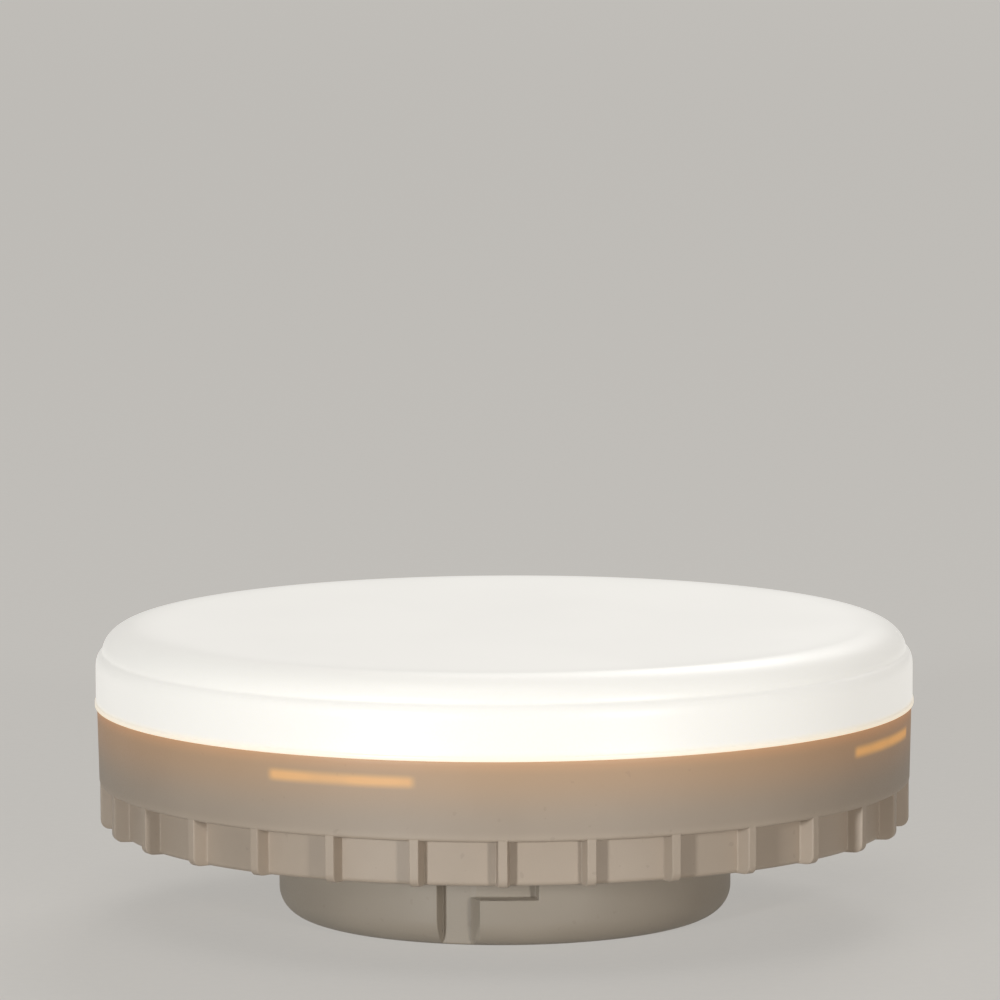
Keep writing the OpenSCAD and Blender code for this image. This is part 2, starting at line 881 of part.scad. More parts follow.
module lamp_wire_positive() {
    color("#b8322a") lamp_wire(1);
}

module lamp_wire_negative() {
    color("#26272b") lamp_wire(-1);
}

housing();
diffuser();
heat_spreader();
thermal_pad();
led_board();
led_packages();
lamp_terminal();
board_screws();
contact_pin_left();
contact_pin_right();
pin_washers();
insulating_film();
driver_board();
input_capacitor();
output_capacitor();
film_capacitor();
filter_choke();
fusible_resistor();
transformer_core();
transformer_bobbin();
transformer_winding();
bridge_rectifier();
control_chip();
chip_resistors();
chip_capacitors();
pin_wire_left();
pin_wire_right();
lamp_wire_positive();
lamp_wire_negative();
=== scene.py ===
# %% [markdown]
# A disc lamp that is lit and stands on its hub. The frame holds the real construction: housing, cover,
# contact pins and everything inside. This script gives it its looks. The two mouldings that show, the
# housing and the cover, are worked out again as smooth surfaces with rounded edges, because a packed
# node is made of loose flat triangles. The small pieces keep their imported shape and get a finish.

# %% Load the frame
import json
import math

import bpy
import numpy as np
from mathutils import Matrix, Vector


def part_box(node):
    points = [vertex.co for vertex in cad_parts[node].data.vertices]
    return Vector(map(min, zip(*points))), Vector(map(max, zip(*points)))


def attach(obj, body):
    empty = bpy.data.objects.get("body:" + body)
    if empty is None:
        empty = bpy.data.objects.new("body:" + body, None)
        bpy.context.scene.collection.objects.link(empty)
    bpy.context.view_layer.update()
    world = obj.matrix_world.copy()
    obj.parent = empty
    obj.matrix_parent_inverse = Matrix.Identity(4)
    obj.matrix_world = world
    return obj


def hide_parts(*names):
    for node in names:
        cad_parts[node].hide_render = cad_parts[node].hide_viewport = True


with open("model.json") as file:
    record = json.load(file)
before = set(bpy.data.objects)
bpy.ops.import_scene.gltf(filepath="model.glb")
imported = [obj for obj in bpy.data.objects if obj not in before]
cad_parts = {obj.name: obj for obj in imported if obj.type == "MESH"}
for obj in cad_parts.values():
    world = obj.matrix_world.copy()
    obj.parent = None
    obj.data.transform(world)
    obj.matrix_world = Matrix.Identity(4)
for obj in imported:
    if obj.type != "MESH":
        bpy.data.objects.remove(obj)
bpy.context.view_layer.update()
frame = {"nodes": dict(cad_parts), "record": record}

# %% [markdown]
# Sizes come from the frame wherever it can tell them: the boxes of the housing, the cover and the pins
# give the outer radii and the heights. What a box can't tell, such as a rib's width, is written here as
# a real size, the same one that the solids have. MM turns millimetres into Blender's metres.

# %% Sizes
MM = 0.001
housing_low, housing_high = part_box("housing")
cover_low, cover_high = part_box("diffuser")
spreader_low, spreader_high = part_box("heat_spreader")
driver_low, driver_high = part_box("driver_board")
film_low, film_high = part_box("insulating_film")

joint_z = housing_high.z
top_z = cover_high.z
ledge_z = spreader_low.z
band_r = housing_high.x
bead_r = cover_high.x
bay_in_r = film_high.x + 0.3 * MM
hub_r = 20.8 * MM
hub_in_r = hub_r - 1.6 * MM
hub_round = 2.5 * MM
hub_floor = 1.8 * MM
band_low_r = band_r - 0.15 * MM
band_in_r = spreader_high.x + 0.2 * MM
band_round = 0.3 * MM
rib_tip_r = band_low_r - 0.05 * MM
rib_round = 0.8 * MM
bay_r = rib_tip_r - 1.4 * MM
bay_round = 0.4 * MM
rib_z = 8.3 * MM
back_z = rib_z + 2 * MM
floor_z = back_z + 1.6 * MM
band_z = rib_z + 4.1 * MM
rib_count = 30
front = math.radians(-90)
print("joint at", round(joint_z / MM, 2), "mm; band", round(band_r / MM, 2), "mm and bays",
      round(bay_r / MM, 2), "mm from the axis")

# %% [markdown]
# The camera comes early, because everything is judged through it. A long lens stands 600 mm away and
# looks down at the lamp by 8.2 degrees. The lamp sits low in the picture, so the camera is tilted up a
# little instead of being shifted: a shift would stay in every other view and push the lamp off centre.

# %% Camera
camera_distance = 0.6
camera_elevation = math.radians(8.24)
camera_azimuth = math.radians(0.27)
lens = 234.6
sensor = 36
tilt_up = math.radians(1.757)
pan_left = math.radians(0.03)
roll = math.radians(-0.23)

back = Vector((
    math.sin(camera_azimuth) * math.cos(camera_elevation),
    -math.cos(camera_azimuth) * math.cos(camera_elevation),
    math.sin(camera_elevation),
))
camera_data = bpy.data.cameras.new("camera")
camera_data.lens = lens
camera_data.sensor_width = sensor
camera_data.clip_start = 0.05
camera_data.clip_end = 50
camera = bpy.data.objects.new("camera", camera_data)
bpy.context.scene.collection.objects.link(camera)
camera.location = Vector((0, 0, joint_z)) + back * camera_distance
aimed = (-back).to_track_quat("-Z", "Y").to_matrix().to_4x4()
tilted = Matrix.Rotation(tilt_up, 4, "X") @ Matrix.Rotation(pan_left, 4, "Y")
camera.rotation_euler = (aimed @ tilted @ Matrix.Rotation(roll, 4, "Z")).to_euler()
bpy.context.scene.camera = camera
print("camera at", [round(v, 3) for v in camera.location], "with a", lens, "mm lens")

# %% [markdown]
# A moulded round piece is a profile carried round the axis. The helper takes the whole grid at once:
# rows run along the profile and columns run round, and both radius and height may change with the
# column, so ribs and grooves are part of the same skin. The first and last row lie on the axis and
# become one point each, with a fan of triangles, so that the mesh is closed. The profile is walked
# outwards and upwards on the outside and downwards on the inside, which makes all faces point outwards.

# %% Round skins
def round_skin(radius, height, angles):
    """Points, quads and triangles of a closed round skin. A point is (r cos a, r sin a, z), with r and z
    from arrays of rows by columns. Neighbouring rows are joined by quads, poles by triangles."""
    rows, columns = radius.shape
    body = slice(1, rows - 1)
    ring = np.stack([radius[body] * np.cos(angles), radius[body] * np.sin(angles), height[body]], -1)
    count = (rows - 2) * columns
    poles = [[0, 0, height[0, 0]], [0, 0, height[-1, 0]]]
    points = np.vstack([ring.reshape(-1, 3), poles])
    j = np.arange(columns)
    k = (j + 1) % columns
    start = np.arange(rows - 3)[:, None] * columns
    quads = np.stack([start + j, start + k, start + columns + k, start + columns + j], -1).reshape(-1, 4)
    last = (rows - 3) * columns
    first_fan = np.stack([np.full(columns, count), k, j], -1)
    last_fan = np.stack([np.full(columns, count + 1), last + j, last + k], -1)
    return points, quads, np.vstack([first_fan, last_fan])


def turned_piece(profile, centre, columns):
    """The skin of a plain turned shape: profile is a list of (r, z) from pole to pole, the same all the
    way round, moved sideways to centre."""
    profile = np.array(profile)
    angles = np.arange(columns) * 2 * math.pi / columns
    radius = np.repeat(profile[:, :1], columns, axis=1)
    height = np.repeat(profile[:, 1:], columns, axis=1)
    points, quads, fans = round_skin(radius, height, angles)
    return points + np.array([centre[0], centre[1], 0]), quads, fans


def ring_piece(profile, centre, columns):
    """The skin of a ring, such as a boss with a hole: profile is a closed loop of (r, z) that doesn't
    touch the axis, walked with the solid on its left."""
    profile = np.array(profile)
    rows = len(profile)
    angles = np.arange(columns) * 2 * math.pi / columns
    ring = np.stack([profile[:, :1] * np.cos(angles), profile[:, :1] * np.sin(angles),
                     np.repeat(profile[:, 1:], columns, axis=1)], -1)
    i = np.arange(rows)[:, None]
    j = np.arange(columns)
    k = (j + 1) % columns
    n = (i + 1) % rows
    quads = np.stack([i * columns + j, i * columns + k, n * columns + k, n * columns + j], -1)
    points = ring.reshape(-1, 3) + np.array([centre[0], centre[1], 0])
    return points, quads.reshape(-1, 4), np.empty((0, 3), int)


def joined(skins):
    """Several skins as one: their points in a row, and the corner numbers moved up to match."""
    starts = np.cumsum([0] + [len(points) for points, quads, fans in skins])
    points = np.vstack([skin[0] for skin in skins])
    quads = np.vstack([skin[1] + start for skin, start in zip(skins, starts)])
    fans = np.vstack([skin[2] + start for skin, start in zip(skins, starts)])
    return points, quads, fans


def piece(name, skin, replaced):
    """Puts a skin into a smooth-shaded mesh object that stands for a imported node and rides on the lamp."""
    points, quads, fans = skin
    corners = np.concatenate([quads.ravel(), fans.ravel()]).astype(np.int32)
    sizes = np.concatenate([np.full(len(quads), 4), np.full(len(fans), 3)])
    starts = np.concatenate([[0], np.cumsum(sizes)[:-1]]).astype(np.int32)
    mesh = bpy.data.meshes.new(name)
    mesh.vertices.add(len(points))
    mesh.vertices.foreach_set("co", points.astype(np.float32).ravel())
    mesh.loops.add(len(corners))
    mesh.loops.foreach_set("vertex_index", corners)
    mesh.polygons.add(len(sizes))
    mesh.polygons.foreach_set("loop_start", starts)
    mesh.polygons.foreach_set("use_smooth", np.ones(len(sizes), bool))
    mesh.update(calc_edges=True)
    made = bpy.data.objects.new(name, mesh)
    bpy.context.scene.collection.objects.link(made)
    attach(made, "root")
    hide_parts(replaced)
    print(name, "has", int((sizes - 2).sum()), "triangles")
    return made


def arc(centre, size, start, end, steps):
    """Points of an elliptical arc: centre + (width cos a, height sin a), with a in degrees."""
    a = np.radians(np.linspace(start, end, steps + 1))
    return np.stack([centre[0] + size[0] * np.cos(a), centre[1] + size[1] * np.sin(a)], -1)


def upright(radius, heights):
    """Points (r, z) at one radius and several heights."""
    return np.array([[radius, height] for height in heights])


def level(radii, height):
    """Points (r, z) at one height and several radii."""
    return np.array([[radius, height] for radius in radii])


print("helpers for round skins are ready")

# %% [markdown]
# The housing has two bayonet grooves in its hub. On a skin that is a height field round the axis, a
# groove is a depth that is taken off the radius. Its walls stand upright, so the grid needs a few rows
# and columns close together at each wall. step_down gives such a wall with a small rounding above and
# below it, and step_lines gives the lines that the grid needs to draw it.

# %% Rounded steps
edge = 0.12 * MM
wall = 0.03 * MM
support = 0.07 * MM


def step_down(inside, depth):
    """Depth at a signed distance inside a step's line: 0 outside, a quarter circle of radius edge, a
    steep fall within the width of wall, and a quarter circle that rounds the foot."""
    before = np.clip(inside + edge, 0, edge)
    after = np.clip(edge + wall - inside, 0, edge)
    upper = edge - np.sqrt(edge ** 2 - before ** 2)
    fall = np.clip(inside / wall, 0, 1) * (depth - 2 * edge)
    foot = np.sqrt(edge ** 2 - after ** 2)
    return upper + fall + foot


def step_lines(at, direction):
    """Where the grid needs lines for a step at the place at, whose inside lies towards direction."""
    inside = np.array([-edge - support, -edge, -0.4 * edge, 0, wall, wall + 0.6 * edge, wall + edge,
                       wall + edge + support])
    return at + direction * inside


print("a step 1 mm deep:", np.round(step_down(np.array([-1, 0, 0.03, 1]) * MM, 1 * MM) / MM, 2), "mm")

# %% [markdown]
# A groove starts at the hub's face with an entry leg, which a holder's lug slides up, and turns into a
# locking leg that runs to the right. The entry leg is a trace deeper and higher, and its far wall
# slopes. Distances along the hub's side are angles times the hub's radius. Depths are combined with
# the smaller one for what lies inside all its walls, and with the larger one for the union of two legs.

# %% Bayonet grooves
groove_start = math.radians(-16.7)
entry_turn = math.radians(10.8)
slope_turn = math.radians(3)
groove_turn = math.radians(25.3)
leg_low = 4.45 * MM
leg_high = leg_low + 3.2 * MM
leg_depth = 1.4 * MM
entry_depth = leg_depth + 0.15 * MM
entry_high = leg_high + 0.15 * MM
groove_fronts = [front, front + math.pi]


def from_front(angles, groove_front):
    """Angles counted from one groove's middle line, brought to between -180 and 180 degrees."""
    return (angles - groove_front + math.pi) % (2 * math.pi) - math.pi


def groove_depth(angles, heights):
    """Depth of both grooves: the larger of the entry leg and the locking leg. Each leg is the smallest
    of its walls' steps, and the entry leg's far wall is a straight ramp."""
    depth = np.zeros(np.broadcast(angles, heights).shape)
    for groove_front in groove_fronts:
        turn = from_front(angles, groove_front)
        across = (turn - groove_start) * hub_r
        ramp = np.clip((entry_turn * hub_r - across) / (slope_turn * hub_r), 0, 1) * entry_depth
        entry = np.minimum(step_down(across, entry_depth), step_down(entry_high - heights, entry_depth))
        entry = np.minimum(entry, ramp)
        leg = np.minimum(step_down(across - entry_turn * hub_r / 3, leg_depth),
                         step_down(groove_turn * hub_r - across, leg_depth))
        leg = np.minimum(leg, step_down(heights - leg_low, leg_depth))
        leg = np.minimum(leg, step_down(leg_high - heights, leg_depth))
        depth = np.maximum(depth, np.maximum(entry, leg))
    return depth


groove_columns = np.concatenate([groove_front + np.concatenate([
    step_lines(groove_start * hub_r, 1),
    step_lines((groove_start + groove_turn) * hub_r, -1),
    (groove_start + entry_turn) * hub_r + np.array([-slope_turn * hub_r - support, -slope_turn * hub_r,
                                                    -slope_turn * hub_r / 2, 0, support]),
]) / hub_r for groove_front in groove_fronts])
groove_rows = np.concatenate([step_lines(leg_low, 1), step_lines(leg_high, -1), step_lines(entry_high, -1)])
print("grooves need", len(groove_columns), "columns and", len(groove_rows), "rows")

# %% [markdown]
# Thirty ribs stand round the edge. Each row of the grid has two points there, one at the bottom of a
# bay and one at the tip of a rib, and a weight between 0 and 1 leads from one to the other. The weight
# follows the rib's outline: a flat tip, two steep flanks, and small round corners where they meet.

# %% Ribs
rib_tip_w = 0.8 * MM
rib_flank_w = 0.2 * MM
corner = 0.15
tip_lines = rib_tip_w / 2 + np.array([-0.07, -0.03, 0, 0.03]) * MM
root_lines = rib_tip_w / 2 + rib_flank_w + np.array([-0.03, 0, 0.03, 0.07]) * MM
rib_lines = np.concatenate([[0], tip_lines, root_lines, np.array([1.2, 1.9, 2.9]) * MM])
rib_middle_r = (bay_r + rib_tip_r) / 2
pitch = 2 * math.pi / rib_count


def rib_weight(angles):
    """1 on a rib's tip and 0 in a bay. The straight ramp t = (root - distance) / flank width has its two
    corners rounded by parabolas that touch it within the share corner."""
    distance = np.abs((angles - front + pitch / 2) % pitch - pitch / 2) * rib_middle_r
    t = (rib_tip_w / 2 + rib_flank_w - distance) / rib_flank_w
    lower = np.clip(t + corner, 0, 2 * corner) ** 2 / (4 * corner)
    upper = np.clip(1 + corner - t, 0, 2 * corner) ** 2 / (4 * corner)
    straight = np.clip(t - corner, 0, 1 - 2 * corner)
    return np.clip(lower + straight + corner - upper, 0, 1)


offsets = np.concatenate([-rib_lines[::-1], rib_lines, [rib_middle_r * pitch / 2]]) / rib_middle_r
rib_columns = (front + np.arange(rib_count)[:, None] * pitch + offsets).ravel()
tested = np.array([0, 0.5, 2]) * MM
print("rib weight at 0, 0.5 and 2 mm:", np.round(rib_weight(front + tested / rib_middle_r), 2))

# %% [markdown]
# The outside profile runs from the middle of the hub's face to the band's upper edge. Edges that a
# mould rounds are short arcs here, with a line just outside each arc, so that smooth shading bends
# only where the surface does. Between a bay and a rib the profile splits into two lists of equal length.

# %% Outside profile of the housing
soft = 0.3 * MM
hub_part = np.vstack([
    level([0, 6 * MM, 12 * MM, hub_r - hub_round - support], 0),
    arc((hub_r - hub_round, hub_round), (hub_round, hub_round), -90, 0, 12),
    upright(hub_r, np.sort(np.concatenate([
        groove_rows, [3.4 * MM, 6 * MM, 8.6 * MM, back_z - 2 * soft]]))),
    arc((hub_r + soft, back_z - soft), (soft, soft), 180, 90, 4),
    level([hub_r + 2 * soft, 26 * MM, 31 * MM, bay_in_r - 2 * soft], back_z),
    arc((bay_in_r - soft, back_z - soft), (soft, soft), 90, 0, 3),
    arc((bay_in_r + soft, rib_z + soft), (soft, soft), 180, 270, 3),
])
foot = 0.2 * MM
bay_part = np.vstack([
    level([bay_in_r + 2 * soft], rib_z),
    arc((bay_r - bay_round, rib_z + bay_round), (bay_round, bay_round), -90, 0, 6),
    upright(bay_r, [rib_z + bay_round + support, 10 * MM, 11.2 * MM, band_z - foot - support]),
    arc((bay_r + foot, band_z - foot), (foot, foot), 180, 90, 3),
    level([bay_r + foot + support, band_low_r - band_round - support], band_z),
    arc((band_low_r - band_round, band_z + band_round), (band_round, band_round), -90, 0, 4),
])
meets = math.degrees(math.acos((rib_tip_r - band_low_r + band_round) / band_round))
rib_part = np.vstack([
    level([bay_in_r + 2 * soft], rib_z),
    arc((rib_tip_r - rib_round, rib_z + rib_round), (rib_round, rib_round), -90, 0, 6),
    upright(rib_tip_r, [rib_z + rib_round + support, 10 * MM, 11.2 * MM, 12 * MM]),
    upright(rib_tip_r, band_z + np.linspace(-0.2, 0.08, 6) * MM),
    arc((band_low_r - band_round, band_z + band_round), (band_round, band_round), -meets, 0, 4),
])
lip = 0.12 * MM
band_part = np.vstack([
    upright(band_low_r, [band_z + band_round + support]),
    np.linspace((band_low_r + 0.02 * MM, 13.5 * MM), (band_r - 0.01 * MM, joint_z - 0.5 * MM), 5),
    arc((band_r - lip, joint_z - lip), (lip, lip), 0, 90, 3),
])
print("rows: hub", len(hub_part), "edge", len(bay_part), "=", len(rib_part), "band", len(band_part))

# %% [markdown]
# Inside, the profile comes back down: round the cover's skirt, over the ledge that carries the heat
# spreader, along the floor and down into the hub. Four pockets in the band hold the cover's snap lugs,
# and the hub's wall is thicker behind each groove. Both are steps that depend on the angle alone.

# %% Inside profile of the housing
lug_count = 4
lug_turn = math.radians(-22.5)
lug_angle = math.radians(20)
pocket_angle = math.radians(20.5)
pocket_depth = 0.65 * MM
pocket_z = joint_z - 1.9 * MM
pocket_half = 0.6 * MM
backing_depth = 1 * MM
backing_margin = math.radians(3)
sliver = math.radians(0.05)
inside_part = np.vstack([
    level([band_in_r + 2 * lip], joint_z),
    arc((band_in_r + lip, joint_z - lip), (lip, lip), 90, 180, 2),
    upright(band_in_r, [pocket_z + pocket_half + wall, pocket_z + pocket_half, pocket_z - pocket_half,
                      pocket_z - pocket_half - wall, ledge_z + support]),
    level([band_in_r - support, bay_in_r + support], ledge_z),
    upright(bay_in_r, [ledge_z - support, floor_z + support]),
    level([bay_in_r - support, 27 * MM, hub_in_r + support], floor_z),
    upright(hub_in_r, [floor_z - support, 6 * MM, hub_floor + support]),
    level([hub_in_r - backing_depth - support, 9 * MM, 0], hub_floor),
])
pocket_edges = np.array([-1, 1]) * pocket_angle / 2
pocket_columns = (lug_turn + np.arange(lug_count)[:, None] * math.pi / 2
                  + np.concatenate([pocket_edges - sliver, pocket_edges + sliver])).ravel()
backing_edges = np.array([groove_start - backing_margin, groove_start + groove_turn + backing_margin])
backing_pair = np.concatenate([backing_edges - sliver, backing_edges + sliver])
backing_columns = np.concatenate([groove_front + backing_pair for groove_front in groove_fronts])
print("inside profile:", len(inside_part), "rows and",
      len(pocket_columns) + len(backing_columns), "more columns")

# %% [markdown]
# Now the whole skin is one grid of radii and heights. The ribs blend two profiles, the grooves take
# their depth off the hub, and the pockets and backings move the inner walls. Screw bosses and the posts
# under the driver board are small turned pieces of the same mesh.

# %% Housing
columns = np.unique(np.round(np.mod(np.concatenate([
    rib_columns, groove_columns, pocket_columns, backing_columns]), 2 * math.pi), 5))
plain = np.vstack([hub_part, bay_part, band_part, inside_part])
ribbed = np.vstack([hub_part, rib_part, band_part, inside_part])
blend = rib_weight(columns)[None, :]
radius = plain[:, :1] + (ribbed[:, :1] - plain[:, :1]) * blend
height = plain[:, 1:] + (ribbed[:, 1:] - plain[:, 1:]) * blend

hub_rows = np.flatnonzero(hub_part[:, 0] <= hub_r)
cut = groove_depth(columns[None, :], height[hub_rows])
radius[hub_rows] = np.minimum(radius[hub_rows], hub_r - cut)

inside_start = len(hub_part) + len(bay_part) + len(band_part)
in_pocket = np.cos(lug_count * (columns - lug_turn)) > math.cos(lug_count * pocket_angle / 2)
pocket_rows = slice(inside_start + 5, inside_start + 7)
radius[pocket_rows][:, in_pocket] += pocket_depth
behind = np.zeros(len(columns), bool)
for groove_front in groove_fronts:
    turn = from_front(columns, groove_front)
    behind |= (turn > backing_edges[0]) & (turn < backing_edges[1])
deep_rows = slice(len(plain) - 6, len(plain) - 3)
radius[deep_rows][:, behind] -= backing_depth

skins = [round_skin(radius, height, columns)]
boss_ring = (hub_in_r + bay_in_r) / 2
for turn in np.radians([90, 210, 330]):
    centre = (boss_ring * math.cos(turn), boss_ring * math.sin(turn))
    skins.append(ring_piece([(1.5 * MM, floor_z - soft), (3 * MM, floor_z - soft), (3 * MM, ledge_z - lip),
                             (3 * MM - lip, ledge_z), (1.5 * MM, ledge_z)], centre, 32))
post_ring = driver_high.y - 1.8 * MM
peg_top = driver_high.z + 0.4 * MM
for turn in np.radians([0, 120, 240]):
    centre = (post_ring * math.cos(turn), post_ring * math.sin(turn))
    skins.append(turned_piece([
        (0, hub_floor - soft), (1.7 * MM, hub_floor - soft), (1.7 * MM, driver_low.z),
        (0.8 * MM, driver_low.z), (0.8 * MM, peg_top - lip), (0.8 * MM - lip, peg_top), (0, peg_top)],
        centre, 24))
housing = piece("housing_moulding", joined(skins), "housing")

# %% [markdown]
# The cover is a shallow cap with a skirt. Its rim has a small bead at the joint, a tight rounding where
# the rim ends, and then a broad shoulder: a quarter of an ellipse that leads into the flat top. The
# four snap lugs are bumps on the skirt with a sloped lower side.

# %% Cover
cover_r = band_r + 0.1 * MM
rim_z = joint_z + 4.85 * MM
rim_round = (0.6 * MM, 1.3 * MM)
shoulder = (3.4 * MM, top_z - rim_z)
step_r = cover_r - rim_round[0]
skirt_r = band_in_r - 0.1 * MM
skirt_in_r = skirt_r - 1.2 * MM
skirt_z = cover_low.z
bead_z = joint_z + 0.4 * MM
inner_top = top_z - 1.4 * MM
inner_round = 2 * MM
lug_out = 0.6 * MM
cover_inside = np.vstack([
    level([0, 10 * MM, 22 * MM, 31 * MM], inner_top),
    arc((skirt_in_r - inner_round, inner_top - inner_round), (inner_round, inner_round), 90, 0, 8),
    upright(skirt_in_r, [20 * MM, skirt_z + lip]),
    arc((skirt_in_r + lip, skirt_z + lip), (lip, lip), 180, 270, 2),
    arc((skirt_r - lip, skirt_z + lip), (lip, lip), -90, 0, 2),
])
lug_shape = np.array([(0, -0.45), (1 / 3, -0.45), (1, -0.15), (1, 0.45), (0, 0.45)])
skirt_outside = upright(skirt_r, [pocket_z - 0.6 * MM] + list(pocket_z + lug_shape[:, 1] * MM)
                      + [pocket_z + 0.6 * MM, joint_z - support])
small = 0.06 * MM
cover_outside = np.vstack([
    level([skirt_r + support, bead_r - 2 * small], joint_z),
    arc((bead_r - small, joint_z + small), (small, small), -90, 0, 2),
    upright(bead_r, [bead_z - small]),
    [(bead_r - 0.3 * small, bead_z), (cover_r + 0.3 * small, bead_z + 0.1 * MM - small)],
    upright(cover_r, [bead_z + 0.1 * MM + support, joint_z + 2 * MM, rim_z - rim_round[1] - support]),
    arc((step_r, rim_z - rim_round[1]), rim_round, 0, 78, 8),
    arc((step_r - shoulder[0], rim_z), shoulder, 2, 90, 24),
    level([31 * MM, 27 * MM, 22 * MM, 16 * MM, 10 * MM, 5 * MM, 0], top_z),
])
cover_profile = np.vstack([cover_inside, skirt_outside, cover_outside])
lug_edges = np.array([-1, 1]) * lug_angle / 2
lug_columns = (lug_turn + np.arange(lug_count)[:, None] * math.pi / 2
               + np.concatenate([lug_edges - sliver, lug_edges + sliver])).ravel()
cover_columns = np.unique(np.round(np.mod(np.concatenate([
    np.radians(np.arange(0, 360, 1.2)), lug_columns]), 2 * math.pi), 5))
cover_radius = np.repeat(cover_profile[:, :1], len(cover_columns), axis=1)
cover_height = np.repeat(cover_profile[:, 1:], len(cover_columns), axis=1)
on_lug = np.cos(lug_count * (cover_columns - lug_turn)) > math.cos(lug_count * lug_angle / 2)
lug_start = len(cover_inside) + 1
cover_radius[lug_start:lug_start + 5] += lug_out * lug_shape[:, :1] * on_lug
cover_skin = round_skin(cover_radius, cover_height, cover_columns)
cover = piece("opal_cover_cap", cover_skin, "diffuser")

# %% [markdown]
# A contact pin is turned from brass: a mushroom head that slips through a holder's keyhole slot, a neck
# that the slot grips, and a collar that bears on the housing. Fine rings from the lathe are left to the
# material. The profile here has the head's rounding and small bevels at the other edges.

# %% Contact pins
for side in ("left", "right"):
    pin_low, pin_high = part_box("contact_pin_" + side)
    pin_x = (pin_low.x + pin_high.x) / 2
    head_r = (pin_high.x - pin_low.x) / 2
    tip = pin_low.z
    tail = pin_high.z
    head_top = tip + 2 * MM
    collar_low = back_z - 0.8 * MM
    bevel = 0.1 * MM
    pin_profile = np.vstack([
        level([0, 1 * MM, head_r - 0.8 * MM], tip),
        arc((head_r - 0.7 * MM, tip + 0.7 * MM), (0.7 * MM, 0.7 * MM), -90, 0, 6),
        [(head_r, head_top - 0.2 * MM), (head_r - 0.06 * MM, head_top - 0.06 * MM)],
        [(head_r - 0.2 * MM, head_top)],
        [(1.7 * MM, head_top), (1.6 * MM, head_top + bevel)],
        [(1.6 * MM, collar_low - bevel), (1.7 * MM, collar_low), (2.2 * MM, collar_low)],
        [(2.3 * MM, collar_low + bevel), (2.3 * MM, back_z), (1.5 * MM, back_z)],
        [(1.5 * MM, tail - 0.2 * MM), (1.3 * MM, tail), (0.6 * MM, tail), (0, tail)],
    ])
    pin_skin = turned_piece(pin_profile, (pin_x, 0), 64)
    piece("turned_pin_" + side, pin_skin, "contact_pin_" + side)

# %% [markdown]
# Finishes are made of shader nodes. Wiring them by hand is long, so two small classes help. A Signal
# stands for the output of a node, and Python's operators on it add Math nodes. A Finish is a material
# with one shader; its method node adds any other node from its type, its settings and its sockets.

# %% Shader maths
class Signal:
    """An output socket that can be reckoned with: signal + 1, 1 - signal, signal * other."""

    def __init__(self, finish, socket):
        self.finish = finish
        self.socket = socket

    def __add__(self, other):
        return self.finish.maths("ADD", self, other)

    def __radd__(self, other):
        return self.finish.maths("ADD", other, self)

    def __sub__(self, other):
        return self.finish.maths("SUBTRACT", self, other)

    def __rsub__(self, other):
        return self.finish.maths("SUBTRACT", other, self)

    def __mul__(self, other):
        return self.finish.maths("MULTIPLY", self, other)

    def __rmul__(self, other):
        return self.finish.maths("MULTIPLY", other, self)

    def __truediv__(self, other):
        return self.finish.maths("DIVIDE", self, other)


